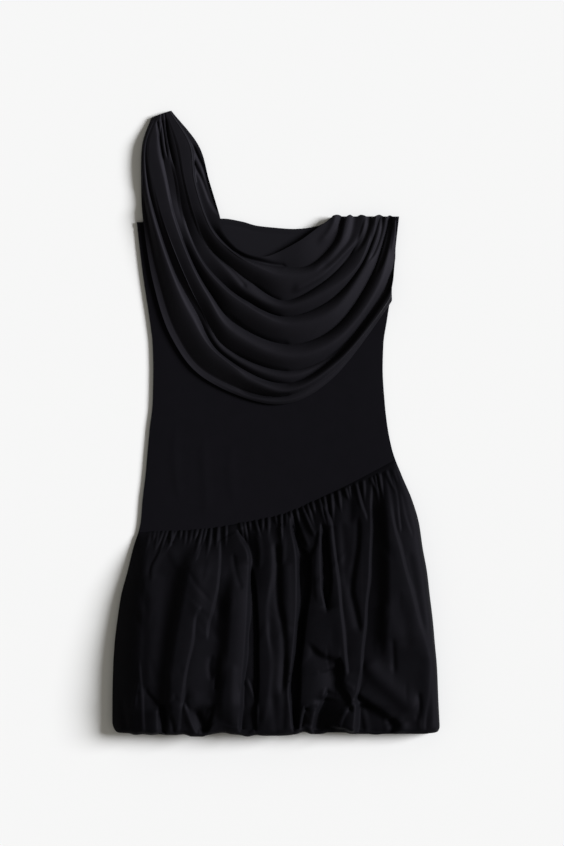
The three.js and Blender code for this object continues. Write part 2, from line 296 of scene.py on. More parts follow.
# wale, course: thread to thread across and along the cut, relief: height of the bump, in metres;
# cloud: scale of the soft unevenness; then, for the bodice, a lighter colour over the panel inside
# the neckline and the box it fills: its left and right edges, lower edge and softness, in metres of
# the cut
finishes = {
    "bodiceJersey": {
        "dark": (0.0044, 0.0042, 0.0056), "light": (0.0062, 0.0058, 0.0078),
        "roughness": (0.84, 0.92), "specular": 0.03, "tint": (0.95, 0.9, 1),
        "wale": 0.0009, "course": 0.0011, "relief": 0.00006, "cloud": 45,
        "neckPanelColour": (0.01, 0.0097, 0.0122), "neckPanelBox": ((-0.085, 0.1), 0.2, 0.004),
    },
    "drapeJersey": {
        "dark": (0.0055, 0.0053, 0.0067), "light": (0.0073, 0.0071, 0.0089),
        "roughness": (0.58, 0.66), "specular": 0.11, "tint": (0.86, 0.8, 1),
        "wale": 0.0006, "course": 0.0008, "relief": 0.00003, "cloud": 60,
    },
    "skirtWeave": {
        "dark": (0.0032, 0.0031, 0.004), "light": (0.0046, 0.0045, 0.0057),
        "roughness": (0.56, 0.66), "specular": 0.035, "tint": (0.86, 0.8, 1),
        "wale": 0.0007, "course": 0.0007, "relief": 0.00005, "cloud": 80,
    },
}
# noise of the threads, and shares of threads and noise in bump and colour
slubNoise = {"scale": 900.0, "detail": 2.0}
cloudDetail = 3.0
reliefShares = {"threads": 0.7, "slub": 0.6}
colourShares = {"cloud": 0.7, "threads": 0.2, "slub": 0.1}


def clothMaterial(name, look):
    # threads both ways, (1 + sin) / 2 of the cut's own coordinates, clouded by noise at two scales
    shader = ClothShader(name)
    place = shader.node("ShaderNodeUVMap", {"uv_map": "cut"}, {})
    axes = shader.node("ShaderNodeSeparateXYZ", {}, {0: place})
    u, v = (Wire(shader, axes.socket.node.outputs[k]) for k in (0, 1))

    def thread(coordinate, pitch):
        turns = coordinate * (2 * math.pi / pitch)
        return shader.node("ShaderNodeMath", {"operation": "SINE"}, {0: turns}) * 0.5 + 0.5

    def noise(scale, detail):
        sockets = {"Vector": place, "Scale": scale, "Detail": detail}
        return shader.node("ShaderNodeTexNoise", {}, sockets)

    def mix(mask, first, second):
        sockets = {0: mask, 6: first, 7: second}
        return shader.node("ShaderNodeMix", {"data_type": "RGBA"}, sockets, output=2)

    def beyond(coordinate, limit, soft):
        sockets = {0: coordinate, 1: limit - soft, 2: limit + soft}
        return shader.node("ShaderNodeMapRange", {"interpolation_type": "SMOOTHSTEP"}, sockets)

    wales, courses = thread(u, look["wale"]), thread(v, look["course"])
    cloud, slub = noise(look["cloud"], cloudDetail), noise(slubNoise["scale"], slubNoise["detail"])
    relief = wales * courses * reliefShares["threads"] + slub * reliefShares["slub"]
    mask = cloud * colourShares["cloud"] + wales * courses * colourShares["threads"]
    colour = mix(mask + slub * colourShares["slub"], (*look["dark"], 1), (*look["light"], 1))
    if "neckPanelColour" in look:
        # lighter colour over the panel inside the neckline: x and y of the cut in a box with soft
        # edges
        (left, right), bottom, soft = look["neckPanelBox"]
        facing = beyond(u, left, soft) * (1 - beyond(u, right, soft)) * beyond(v, bottom, soft)
        colour = mix(facing, colour, (*look["neckPanelColour"], 1))
    low, high = look["roughness"]
    raised = {"Height": relief, "Distance": look["relief"], "Strength": 1.0}
    bump = shader.node("ShaderNodeBump", {}, raised)
    shader.feed(shader.surface.inputs["Base Color"], colour)
    shader.feed(shader.surface.inputs["Roughness"], cloud * (high - low) + low)
    shader.feed(shader.surface.inputs["Normal"], bump)
    shader.surface.inputs["Specular IOR Level"].default_value = look["specular"]
    shader.surface.inputs["Specular Tint"].default_value = (*look["tint"], 1)
    return shader.material


bodiceJersey, drapeJersey, skirtWeave = (clothMaterial(*entry) for entry in finishes.items())
print("materials made")

bodice = {
    "frontGrid": (170, 150), "backGrid": (40, 40),
    "crown": 1.2, "thickness": 1.2, "overSeam": 1.0,
    # turned neck edge: its width, extra thickness and softness; depth and reach of the groove below
    "neckTurn": (7, 0.5, 0.8),
    "neckGroove": (0.35, 0.8),
    "deepestCrease": -0.9,
    "creases": [
        # slight creases beside the waist
        ([(176, 420), (174, 450), (176, 480), (180, 505)], 0.5, 5, 7, 30, 30),
        ([(205, 430), (203, 460), (206, 495), (204, 518)], 0.45, 6, 7, 30, 20),
        ([(232, 440), (230, 470), (234, 505)], 0.35, 6, 8, 30, 20),
        ([(392, 250), (388, 300), (382, 360)], 0.4, 6, 8, 30, 40),
        ([(380, 400), (384, 430), (388, 455)], 0.4, 6, 6, 20, 12),
    ],
}


def bodiceFloor(share):
    # underside of the front: one wall and one gap over the surface, with a slight crown
    return pattern["cadWall"] + pattern["seamGap"] + bodice["crown"] * sideRise(share)


def bodicePanel(name, nodeName, front, grid):
    # grid from the hip seam up to the top edge; the front carries its creases, and is thicker along
    # the turned neck edge, with a groove h exp(-(d / reach)^2) just below
    rows, columns = (np.linspace(0, 1, count) for count in grid)
    up, share = np.meshgrid(rows, columns, indexing="ij")
    overSeam = bodice["overSeam"] if front else -pattern["seamGap"] / 2
    low = readTable(pattern["hipSeam"], share) - overSeam
    high = readTable(pattern["topEdge"], share)
    y = low + (high - low) * up
    x = across(share, y)
    z = bodiceFloor(share) if front else np.zeros(x.shape)
    thickness = bodice["thickness"] + 0 * x
    if front:
        end, extra, soft = bodice["neckTurn"]
        depth, reach = bodice["neckGroove"]
        thickness += extra * (1 - ramp(end - soft, end, high - y))
        thickness -= depth * np.exp(-((high - y - end - reach) / reach) ** 2)
        creases = foldSum(x, y, fromPicture(bodice["creases"]), softFold)
        z = z + np.maximum(creases, bodice["deepestCrease"]) * sideRise(share)
    uv = np.stack([x, y], -1)
    lower = np.stack([x, y, z], -1)
    upper = np.stack([x, y, z + thickness], -1)
    return clothMesh(name, upper, lower, uv, "bodice_jersey", nodeName, bodiceJersey)


bodiceBack = bodicePanel("bodiceBack", "bodice_back", False, bodice["backGrid"])
bodiceFront = bodicePanel("bodiceFront", "bodice_front", True, bodice["frontGrid"])
print("bodice made")

# Lines of the drape's ridges and valleys, from the neck edge to the lower edge: x, y and height at
# eleven stations from the shoulder down the strap, round the swag and up to the right side
drape = {
    "rowsPerStation": 24, "columnsPerGap": 12, "sharpAngle": 75,
    "thickness": 1.1, "mostThickened": 2, "leastLift": 0.1,
    # powers of the inner and the outer side of a fold; the last gaps have a straight inner side
    "roundness": (1.8, 4), "rimGaps": 2,
    # bulge of the strap at each station
    "bulge": [2.6, 3.2, 3, 2.2, 1, 0.3, 0, 0, 0, 0, 0],
    # puffs at the right end: height, pitches of two sines, and share of the last station they take
    "endPuffs": (1.7, 3.1, 8.3, 0.4),
    # heights between which the floor under the drape falls from the bodice to the strap's back
    "strapFoot": 292, "strapClear": 312,
    "lines": [
        [(-147.7, 437.5, 0.6), (-109.2, 388.5, 2.1), (-94.5, 339.5, 2.1), (-79.8, 290.5, 3.4),
         (-74.2, 266.7, 6.3), (-49.7, 240.8, 6.3), (-21.7, 232.4, 6.3), (-2.1, 236.6, 5),
         (32.9, 254.8, 7.4), (58.1, 273, 6.3), (79.1, 287.7, 5.2)],
        [(-149.4, 436.9, 0.4), (-118.9, 388.5, 1.7), (-112.7, 339.5, 1.1), (-97.9, 289.1, 0.8),
         (-81.5, 261.4, 1.1), (-53.3, 235.1, 1.1), (-24.1, 223.9, 1.1), (6.5, 219, 1.1),
         (46, 220.8, 1.7), (80.8, 252.4, 1.7), (94.5, 287.7, 1.7)],
        [(-150.5, 436.5, 1.9), (-122.1, 388.5, 8.8), (-115.9, 339.5, 10.5), (-100.8, 289.1, 10.5),
         (-84, 258.3, 11.6), (-55.3, 233.1, 12.6), (-26.6, 217, 13.7), (10.5, 204.4, 13.7),
         (55.3, 212.8, 11.6), (87.5, 247.1, 9.5), (99.4, 287.7, 6.3)],
        [(-153.6, 435.4, 1.7), (-136.1, 388.5, 8), (-127.5, 339.5, 9.7), (-113.8, 289.1, 7.6),
         (-96.4, 248.2, 2.1), (-65.4, 219.2, 3.2), (-36.1, 196.6, 2.1), (10.5, 171, 1.7),
         (62.6, 194.8, 3.2), (103.5, 235.9, 2.5), (125.3, 287.7, 1.7)],
        [(-155, 435, 1.5), (-140.7, 388.5, 6.3), (-130.9, 339.5, 7.8), (-117.6, 289.1, 5),
         (-98.7, 244.3, 2.9), (-69.3, 212.8, 6.3), (-39.9, 183.4, 9.5), (10.5, 162.4, 10.5),
         (69.3, 184.8, 11.6), (114.1, 221.9, 9.5), (139.3, 287.7, 6.3)],
        [(-157.3, 434.2, 0.4), (-150.8, 388.5, 2.5), (-138.6, 339.5, 5), (-129.8, 289.1, 0.4),
         (-107.6, 234.4, 1.1), (-79.9, 199.9, 1.1), (-44.4, 172.2, 1.1), (12, 148.5, 2.1),
         (73.6, 170.7, 3.2), (117.9, 219, 3.8), (146.3, 287.7, 2.1)],
        [(-158.9, 433.6, 1.3), (-154, 388.5, 3.8), (-142.8, 339.5, 3.2), (-134.4, 289.1, 1.1),
         (-109.9, 231.7, 7.1), (-83.3, 196, 11.6), (-46.9, 165.9, 13.7), (13.3, 137.2, 13.7),
         (76.3, 155.4, 12.6), (123.2, 217, 9.5), (152.6, 287.7, 5.2)],
        [(-161.3, 432.7, 0.4), (-161.9, 388.5, 1.9), (-153.2, 339.5, 2.3), (-141.8, 287.4, 2.1),
         (-118.7, 227.3, 1.5), (-93.4, 182.5, 1.1), (-58.5, 139.3, 1.1), (13.3, 109.7, 2.1),
         (80.7, 132.9, 2.5), (132, 203.7, 2.1), (159.6, 287, 1.7)],
        [(-163.1, 432.1, 1.9), (-168.7, 388.5, 5), (-158.2, 339.5, 5.7), (-145.6, 287, 6.9),
         (-122.5, 225.4, 10.1), (-97.3, 177.1, 11.1), (-62.3, 126.7, 13.4), (13.3, 93.1, 15.8),
         (84, 116.9, 13.7), (140, 189.7, 11.6), (167.3, 284.9, 7.4)],
        [(-165.4, 431.3, 1.7), (-178.1, 388.5, 4.8), (-171.8, 339.5, 5), (-158.9, 286, 5.9),
         (-133.6, 218.5, 7.1), (-107.5, 163.7, 5), (-71, 105.2, 2.5), (11.8, 72.4, 3.2),
         (86.1, 101.3, 2.9), (147.8, 180.5, 3.2), (166.6, 230.3, 3.2)],
        [(-166.7, 430.8, 1.5), (-179.9, 388.5, 4.6), (-174.3, 339.5, 5), (-161, 285.6, 4.6),
         (-135.1, 217.7, 3.4), (-108.5, 161.7, 2.9), (-73.5, 100.8, 5.5), (10.5, 64.4, 8.4),
         (85.4, 98, 2.9), (148.8, 178.5, 3.2), (165.9, 224.7, 3.2)],
        [(-168.7, 430.1, 1.3), (-183.1, 388.5, 3.8), (-181.2, 339.5, 1.7), (-167.9, 284.9, 1.3),
         (-143.2, 212.8, 1.1), (-113.8, 155.8, 1.1), (-76.8, 95.6, 1.1), (9, 54.8, 3.2),
         (84.6, 93.9, 3.4), (149.8, 175.8, 3.8), (165.2, 217.7, 3.2)],
        [(-170.1, 429.7, 1.3), (-184.7, 388.5, 5.5), (-184.1, 339.5, 5), (-172.9, 284.9, 8.4),
         (-148, 209.3, 9.7), (-120.4, 148.4, 10.5), (-81.2, 93.1, 12.6), (6.3, 44.8, 13.7),
         (83.3, 82.6, 15.1), (151.3, 164.5, 12.6), (163.5, 198.1, 8)],
        [(-172.6, 428.8, 0.8), (-186.6, 388.5, 4.2), (-187.5, 339.5, 4.2), (-181.2, 284.9, 0.8),
         (-165.1, 200, 0.6), (-139.5, 123.1, 0.6), (-93.4, 67.4, 0.8), (3.4, 36.1, 2.5),
         (81.1, 74.6, 8.4), (152.7, 162.3, 6.3), (162.5, 191.1, 4.6)],
        [(-174, 428.3, 0.4), (-187.3, 388.5, 2.9), (-188.3, 339.5, 2.5), (-184.1, 284.9, 1.9),
         (-170.2, 198.8, 1.7), (-144.3, 120.5, 1.7), (-96.3, 62.9, 2.1), (0.7, 30.1, 5),
         (79.1, 67.9, 4.6), (153.7, 161, 4.2), (161.4, 184.1, 2.9)],
        [(-175.7, 427.7, 0), (-188.3, 389.9, 0.6), (-190, 339.5, 0.8), (-187.2, 284.9, 2.1),
         (-173.2, 198.1, 2.5), (-147, 119, 2.5), (-98.3, 60.2, 2.7), (-0.7, 25.2, 1.9),
         (77, 60.2, 0.8), (154.7, 159.6, 0.8), (159.7, 175.7, 0.6)],
    ],
    # points, height, reach on both sides, fade at both ends
    "creases": [
        # trough under the right gathers
        ([(356, 211), (350, 236), (341, 250), (330, 262), (315, 272)], -2.4, 5, 5, 1, 20),
        ([(290, 293), (300, 288), (320, 277), (330, 268), (340, 258), (350, 248), (357, 240),
          (363, 228), (366, 211)], 3, 2.6, 6, 16, 1),
        ([(205, 238), (215, 252), (225, 264), (235, 275), (243, 284), (246.5, 289)],
          -1.6, 3, 3, 16, 7),
        ([(232, 248), (245, 256), (262, 261), (275, 264.5), (288, 266.5)], -2, 2.4, 3, 18, 9),
        ([(250, 282), (262, 291), (272, 298), (283, 301)], -1.4, 2.4, 3, 16, 9),
        ([(245, 303), (258, 309), (270, 314.5), (284, 317)], -1.4, 2.4, 3, 16, 9),
        ([(225, 312), (240, 327), (255, 336), (270, 342), (291, 344.5)], -2, 3.2, 4.2, 22, 9),
        ([(228, 350), (243, 358), (260, 365), (275, 369), (291, 371.5)], -1.5, 2.6, 3, 22, 9),
        ([(235, 367), (250, 377), (265, 381.5), (280, 383), (293, 385.5)], -1.5, 2.6, 3, 22, 9),
        ([(235, 388), (250, 394.5), (270, 396.5), (292, 394)], -2, 2.4, 2.8, 18, 9),
        # creases beside the neck edge of the strap
        ([(192, 143), (197, 155), (203, 168), (208, 185), (214, 203), (220, 216)],
          -2.4, 2.2, 2.6, 8, 8),
        ([(192, 158), (195, 166), (201, 177), (206, 190), (211, 203), (218, 214)],
          -2.4, 2, 2.4, 8, 8),
        # gathers along the right side of the top edge
        ([(337, 211), (334, 222), (327, 235), (316, 246)], 2, 4, 3, 1, 18),
        ([(344, 211), (341, 222), (336, 232)], -2, 2.4, 2.4, 1, 14),
        ([(371, 211), (369, 226), (363, 242), (354, 254)], -2.4, 3, 3, 1, 20),
        ([(377, 211), (375, 228), (370, 244)], 2, 2.6, 2.6, 1, 18),
        ([(384, 211), (381, 232), (374, 252), (366, 264)], -3, 3, 2.6, 1, 20),
        ([(392, 211), (390, 232), (384, 256), (376, 276)], -3, 3, 2.6, 1, 20),
        ([(396, 211), (395, 234), (391, 256)], 1.8, 2.4, 2.4, 1, 16),
        # pleats at the shoulder
        ([(157, 120), (158.5, 133), (161, 148), (164, 163)], -3, 1.8, 2.2, 4, 16),
        ([(162, 119), (163.5, 130), (165.5, 145), (168, 160)], -3.5, 1.8, 2.2, 4, 16),
        ([(165.5, 118), (167.5, 135), (171, 152), (176, 170)], -3, 1.8, 2.2, 4, 16),
    ],
}


def drapeGrid():
    # Catmull-Rom along each line, then from line to line up from the valley: 1 - (1 - t)^n on the
    # side towards the neck, where each fold drops off, and t (m - t^(m - 1)) / (m - 1) on its long
    # outer side; straight up in the last gaps, where the free edge stands off the bodice
    lines = np.stack([smoothPath(line, drape["rowsPerStation"]) for line in drape["lines"]], 1)
    gaps = lines.shape[1] - 1
    step = drape["columnsPerGap"]
    t = np.append(np.tile(np.arange(step) / step, gaps), 1.0)
    gap = np.append(np.repeat(np.arange(gaps), step), gaps - 1)
    first, second = lines[:, gap], lines[:, gap + 1]
    flat = first[..., :2] + (second - first)[..., :2] * t[:, None]
    rising = second[..., 2] > first[..., 2]
    share = np.where(rising, t, 1 - t)
    inner, outer = drape["roundness"]
    inner = np.where(gap < gaps - drape["rimGaps"], inner, 1.0)
    outside = share * (outer - share ** (outer - 1)) / (outer - 1)
    rounded = np.where(rising, 1 - (1 - share) ** inner, outside)
    low = np.minimum(first[..., 2], second[..., 2])
    height = low + np.abs(second[..., 2] - first[..., 2]) * rounded
    return flat, height


def drapeFloor(x, y):
    # what lies under the drape: the bodice front, and above it the back of the strap
    left = readTable(pattern["sides"], y, 1)
    share = np.clip((x - left) / (readTable(pattern["sides"], y, 2) - left), 0, 1)
    wall, gap = pattern["cadWall"], pattern["seamGap"]
    over = bodiceFloor(share) + wall + gap
    return over + (wall + gap - over) * ramp(drape["strapFoot"], drape["strapClear"], y)


def makeDrape():
    # floor + line heights + bulge (1 - s^2) of the strap + creases, with small puffs of the gathers
    # h (1 + sin(x / a + sin(x / b))) along the right end; thicker on slopes, by sqrt(1 + slope^2)
    flat, height = drapeGrid()
    x, y = flat[..., 0], flat[..., 1]
    rows, columns = x.shape
    station = np.linspace(0, len(drape["bulge"]) - 1, rows)
    spread = np.linspace(-1, 1, columns)
    bulge = np.interp(station, np.arange(len(drape["bulge"])), drape["bulge"])[:, None]
    creases = foldSum(x, y, fromPicture(drape["creases"]), softFold)
    lift = height + bulge * (1 - spread**2) + creases
    puff, narrow, wide, part = drape["endPuffs"]
    last = ramp(rows - 1 - drape["rowsPerStation"] * part, rows - 1, np.arange(rows))[:, None]
    y = y + puff * last * (1 + np.sin(x / narrow + np.sin(x / wide)))
    z = drapeFloor(x, y) + np.maximum(lift, drape["leastLift"])
    down, side = np.gradient(np.stack([x, y, z], -1), axis=(0, 1))
    slope = np.abs(side[..., 2]) / np.maximum(np.hypot(side[..., 0], side[..., 1]), 1e-6)
    thick = drape["thickness"] * np.minimum(np.hypot(1, slope), drape["mostThickened"])
    length = np.cumsum(np.linalg.norm(down, axis=-1), axis=0)
    width = np.cumsum(np.linalg.norm(side, axis=-1), axis=1)
    uv = np.stack([width, length], -1)
    lower = np.stack([x, y, z], -1)
    upper = np.stack([x, y, z + thick], -1)
    names = "drape_jersey", "drape_front"
    return clothMesh("drapeFront", upper, lower, uv, *names, drapeJersey, drape["sharpAngle"])


drapeFront = makeDrape()
print("drape made")

strap = {"rows": 60, "columns": 30, "stations": 3}


def makeStrapBack():
    # flat strip between the drape's first and last lines, from the shoulder to the bodice back
    neck = smoothPath(drape["lines"][0], drape["rowsPerStation"])
    armhole = smoothPath(drape["lines"][-1], drape["rowsPerStation"])
    at = np.linspace(0, strap["stations"] * drape["rowsPerStation"], strap["rows"])
    place = np.arange(len(neck))
    down = [np.interp(at, place, line[:, k])[:, None] for line in (armhole, neck) for k in (0, 1)]
    share = np.linspace(0, 1, strap["columns"])[None, :]
    x = down[0] + (down[2] - down[0]) * share
    y = down[1] + (down[3] - down[1]) * share
    left = readTable(pattern["sides"], drape["strapFoot"], 1)
    right = readTable(pattern["sides"], drape["strapFoot"], 2)
    foot = readTable(pattern["topEdge"], (x - left) / (right - left)) + pattern["seamGap"]
    y = np.maximum(y, foot)
    y[-1] = foot[-1]
    lower = np.stack([x, y, 0 * x], -1)
    upper = np.stack([x, y, 0 * x + bodice["thickness"]], -1)
    uv = np.stack([x, y], -1)
    return clothMesh("strapBack", upper, lower, uv, "bodice_jersey", "strap_back", bodiceJersey)


strapBack = makeStrapBack()
print("strap made")

skirt = {
    "frontGrid": (138, 300), "backGrid": (60, 180), "rowCrowding": 1.25,
    "hemStrips": 10, "returnStrips": 3, "hemReturn": 25, "cutWidth": 460, "sharpAngle": 75,
    "half": 0.6, "cadHalf": 0.7, "leastHeight": 0.02, "backFlatness": 1.06,
    "hemCentre": -428.3, "hemRadius": (6, 8), "frontHemDrop": 8, "backHemDrop": 2.5,
    # depth of the tuck along the hip seam and its share of the way down
    "tuckedUnder": (1.3, 0.014),
    # where folds are full and hem bumps start, down the skirt; where folds are full, up the crown
    "foldsFull": 0.1, "bumpsStart": 0.86, "crownFull": 0.5, "leastPuff": 4,
    # powers of the left flank and the right edge; where the front starts to fall, and how much
    "frontRoundness": (1.5, 60), "rightFall": (0.35, 0.35), "leastFlank": 4,
    # y, x of the edge where the left flank meets the first panel
    "flankEdge": [
        (-440, -186), (-391, -188), (-333, -189.5), (-276, -187), (-220, -183), (-171, -178),
        (-140, -174),
    ],
    # lean: mean and spread; bend and fade are shares of the length, wider of the reach
    "crinkles": {
        "seed": 11, "count": 90, "x": (-205, 205), "y": (-395, -150), "length": (18, 60),
        "lean": (0.05, 0.35), "height": 0.7, "reach": (2.5, 6), "bend": 0.4, "wider": 1.4,
        "fade": 0.45,
    },
    # share of the way down, height of the side seams, rise of the front over them
    "heights": [
        (0, 1.55, 1.2), (0.04, 1.8, 7), (0.12, 2.4, 14), (0.26, 3.8, 20), (0.42, 5.2, 24),
        (0.58, 6.5, 26), (0.74, 7.6, 27), (0.88, 8.5, 27), (1, 9, 25),
    ],
    # x of the gathers along the hip seam
    "gathers": [
        -177.1, -171.5, -165.9, -158.9, -153.3, -146.3, -140.7, -133.7, -126.7, -118.3, -111.3,
        -104.3, -98.7, -91.7, -81.9, -70.7, -51.1, -45.5, -38.5, -30.1, -20.3, -11.9, -2.1, 6.3,
        13.3, 18.9, 27.3, 35.7, 42.7, 49.7, 59.5, 66.5, 76.3, 86.1, 95.9, 101.5, 111.3, 121.1,
        132.3, 137.9, 143.5, 153.3, 163.1, 167.3, 174.3,
    ],
    # x, lean of the gathers to the right as they run down
    "lean": [
        (-180, -0.3), (-130, -0.25), (-60, 0), (20, 0.25), (90, 0.3), (140, 0.3), (175, 0.42),
    ],
    # level: y where the gathers' places are read; back: factor that mirrors them for the back; bend
    # and fadeOut are shares of the length
    "gatherForm": {
        "seed": 7, "level": -130, "back": -0.9, "frontRise": 2.5, "backRise": 1.0,
        "length": (14, 48), "leanSpread": 0.22, "heights": (0.6, 1.25), "bend": 0.45, "gentle": 3,
        "deeper": 1.3, "steep": 2.3, "hollow": (4, 5), "fadeIn": 0.5, "fadeOut": 0.8,
    },
    # x, rise of the hem
    "hemBumps": [
        (-230.3, 9.2), (-219.1, 3.6), (-207.9, 3.6), (-196.7, 0.8), (-185.5, 2.2), (-174.3, 0.8),
        (-163.1, 2.2), (-151.9, 0.8), (-140.7, 0.8), (-129.5, 2.2), (-118.3, -2), (-102.9, -2),
        (-95.9, 0.8), (-73.5, 5), (-62.3, 2.2), (-51.1, 0.8), (-39.9, -2), (-28.7, 0.8),
        (-17.5, -0.6), (4.9, -0.6), (27.3, 2.2), (38.5, 6.4), (49.7, 2.2), (60.9, 2.2), (72.1, 5),
        (94.5, 5), (105.7, 2.2), (128.1, 2.2), (139.3, 0.8), (150.5, 2.2), (206.5, 2.2),
        (217.7, 3.6), (228.9, 3.6),
    ],
    # points, side of the hollow, rise and reach of the crest, depth and steepness of the hollow,
    # its reach at both ends, fade at both ends
    "frontFolds": [
        # edge of the first panel
        ([(140, 655), (141, 676), (143, 700), (144, 733)], 1, 1.2, 4, 0.8, 1.8, (4, 4), 20, 2),
        ([(139, 680), (136, 698), (132, 717)], 1, 1.3, 3.5, 0.6, 1.8, (4, 4), 6, 8),
        ([(170, 534), (162, 550), (153, 566), (152, 582)], -1, 1.6, 6, 1.2, 2.2, (5, 6), 2, 12),
        ([(201, 544), (198, 553), (195, 562)], 1, 1, 5, 0.8, 1.6, (3, 4), 4, 8),
        ([(202, 605), (195, 615), (192, 640), (188, 660), (184, 680), (182, 700), (180, 715),
          (178, 731)], 1, 1.2, 16, 2.2, 2.2, (8, 12), 6, 4),
        ([(219, 531), (219, 560), (218, 580), (214, 600), (210, 615), (207, 628), (207, 640)],
          1, 1.1, 14, 2.2, 2, (9, 10), 2, 12),
        ([(235, 530), (241, 541), (246, 550), (248, 565), (247, 600), (245, 640), (243, 665),
          (241, 690), (239, 710), (238, 731)], 1, 3, 24, 12, 3, (15, 18), 5, 3),
        ([(250, 556), (255, 578), (258, 605), (259, 640), (259, 680), (258, 705), (257, 731)],
          -1, 0.5, 10, 9, 2.8, (7, 9), 14, 3),
        ([(246, 676), (252, 690), (256, 703), (256, 716), (254, 732)],
          1, 1.4, 5, 3, 2, (4, 5), 10, 3),
        ([(262, 522), (268, 540), (271, 556), (270, 575), (267, 595), (265, 610), (266, 630),
          (268, 650), (269, 665), (268, 685), (265, 705), (263, 722)],
          1, 1.6, 18, 2, 6, (9, 9), 3, 16),
        ([(288, 512), (291, 530), (294, 545), (296, 565), (296, 600), (295, 625), (293, 645),
          (291, 665), (288, 690), (290, 710), (292, 731)], 1, 2, 24, 16, 2.6, (20, 12), 5, 3),
        ([(301, 546), (311, 556), (312, 580), (310, 600), (307, 620), (304, 642), (302, 665),
          (301, 700), (300, 728)], -1, 0.6, 10, 8, 5, (12, 8), 10, 3),
        ([(320, 531), (317, 546), (312, 558), (311, 580)], -1, 1.2, 8, 2, 2.4, (5, 6), 3, 12),
        ([(320, 522), (320, 556), (321, 588), (326, 612)], 1, 0.8, 6, 11, 2.2, (11, 7), 10, 6),
        ([(328, 528), (331, 560), (332, 585), (327, 612)], -1, 0.6, 6, 8, 2.4, (8, 6), 12, 6),
        ([(319, 498), (325, 510), (330, 520), (332, 540), (335, 560), (337, 580), (339, 600),
          (341, 620), (343, 640), (345, 660), (346, 674)], 1, 2, 14, 3, 2.4, (7, 8), 3, 4),
        ([(340, 656), (345, 664), (345, 676), (344, 684), (349, 693), (353, 703), (354, 712)],
          -1, 1.2, 10, 9.5, 7, (16, 22), 12, 8),
        ([(344, 682), (349, 686), (354, 689)], -1, 1.2, 4, 1.5, 1.6, (4, 4), 2, 3),
        ([(306, 640), (315, 645), (324, 652), (333, 655), (341, 656)],
          -1, 0.8, 10, 11, 5, (9, 16), 22, 4),
        ([(356, 482), (360, 500), (367, 522)], 1, 1.4, 8, 2, 2, (6, 6), 2, 10),
        ([(371, 475), (370, 500), (370, 530), (369, 560), (368, 580), (366, 600), (364, 625),
          (362, 645), (360, 665), (357, 685), (355, 700), (354, 715), (352, 732)],
          1, 1.8, 20, 3, 2.2, (7, 14), 4, 3),
        ([(384, 472), (387, 490), (390, 510), (394, 530), (398, 545), (402, 560), (406, 575),
          (410, 590), (414, 605), (418, 620), (421, 632), (425, 645), (429, 660)],
          1, 2, 16, 2.6, 3.4, (7, 12), 3, 12),
        ([(392, 475), (396, 495), (398, 515), (400, 534)], 1, 1.2, 5, 2, 2, (4, 5), 2, 10),
        ([(400, 492), (405, 518), (412, 537)], 1, 0.6, 4, 3, 2, (5, 6), 8, 8),
        ([(430, 650), (429, 675), (427, 695), (424, 715), (423, 732)],
          1, 2, 10, 2.4, 3, (5, 6), 12, 3),
        ([(437, 676), (436, 700), (434, 716), (431, 731)], 1, 1.2, 5, 1.6, 2, (4, 5), 10, 3),
        ([(326, 687), (321, 699), (316, 709), (313, 720), (311, 732)],
          1, 2, 5, 8, 2.2, (12, 16), 6, 2),
        ([(304, 706), (302, 716), (299, 732)], 1, 1.2, 5, 6, 2, (8, 9), 3, 2),
        ([(302, 709), (309, 705), (317, 703)], -1, 1, 4, 4, 1.8, (6, 6), 3, 3),
        ([(352, 698), (345, 712), (339, 731)], 1, 0.8, 5, 1.4, 2.2, (5, 6), 6, 3),
        ([(357, 691), (368, 698), (380, 707), (391, 716), (403, 724)],
          -1, 1.6, 13, 9, 5.5, (24, 18), 5, 9),
        ([(187, 704), (200, 702), (213, 704)], -1, 0.8, 8, 6.5, 5, (12, 9), 7, 8),
        ([(217, 702), (214, 716), (209, 731)], -1, 0.8, 6, 4, 3, (8, 7), 6, 3),
        ([(184, 701), (190, 716), (197, 731)], 1, 1.6, 5, 3.4, 2, (6, 8), 3, 3),
        ([(147, 685), (154, 694), (162, 701), (169, 698), (176, 690)],
          -1, 0.6, 7, 5, 4, (7, 7), 8, 8),
    ],
    # points, height, reach on both sides, fade at both ends
    "softFolds": [
        # soft ridges, steeper on their left side
        ([(199, 540), (193, 565), (188, 590), (182, 620), (177, 650), (174, 680), (174, 710),
          (176, 731)], 12, 15, 52, 44, 40),
        ([(236, 565), (234, 600), (231, 640), (228, 670), (225, 700), (226, 728)],
          9, 13, 26, 50, 40),
        ([(388, 482), (390, 530), (391, 580), (390, 615), (386, 665)], 11, 14, 95, 44, 50),
        ([(153, 572), (152, 600), (152, 640), (150, 690)], 2.6, 9, 14, 10, 10),
        ([(157, 706), (157, 720), (158, 733)], 4, 14, 3.4, 6, 2),
        ([(163, 702), (163, 716), (163, 733)], -5.5, 5, 5, 4, 2),
        ([(276, 540), (277, 560), (278, 600), (282, 620), (284, 640), (284, 665), (281, 695)],
          -3.4, 6, 5, 14, 18),
        ([(358, 515), (357, 545), (353, 570), (351, 590), (354, 605), (360, 633)],
          -3.4, 7, 4.5, 16, 12),
        ([(350, 495), (350, 530), (347, 570)], -2, 9, 6, 10, 22),
        ([(408, 550), (413, 575), (418, 600), (424, 632)], -1.6, 5, 6, 10, 14),
        ([(363, 658), (375, 674), (388, 686), (402, 699), (415, 712)], 4.6, 11, 13, 14, 10),
        ([(418, 690), (419, 706), (417, 722)], -3.4, 4, 4, 8, 5),
        ([(392, 636), (393, 655), (394, 674)], -2, 4, 4, 8, 10),
        ([(233, 552), (236, 572), (242, 590)], -1.4, 3.5, 3.5, 8, 8),
        ([(197, 560), (198, 585), (199, 620)], 1.6, 11, 10, 14, 18),
        ([(317, 546), (316, 575), (318, 604)], 1.6, 4, 5, 6, 16),
        ([(314, 660), (314, 680), (311, 700)], 0.5, 10, 10, 8, 8),
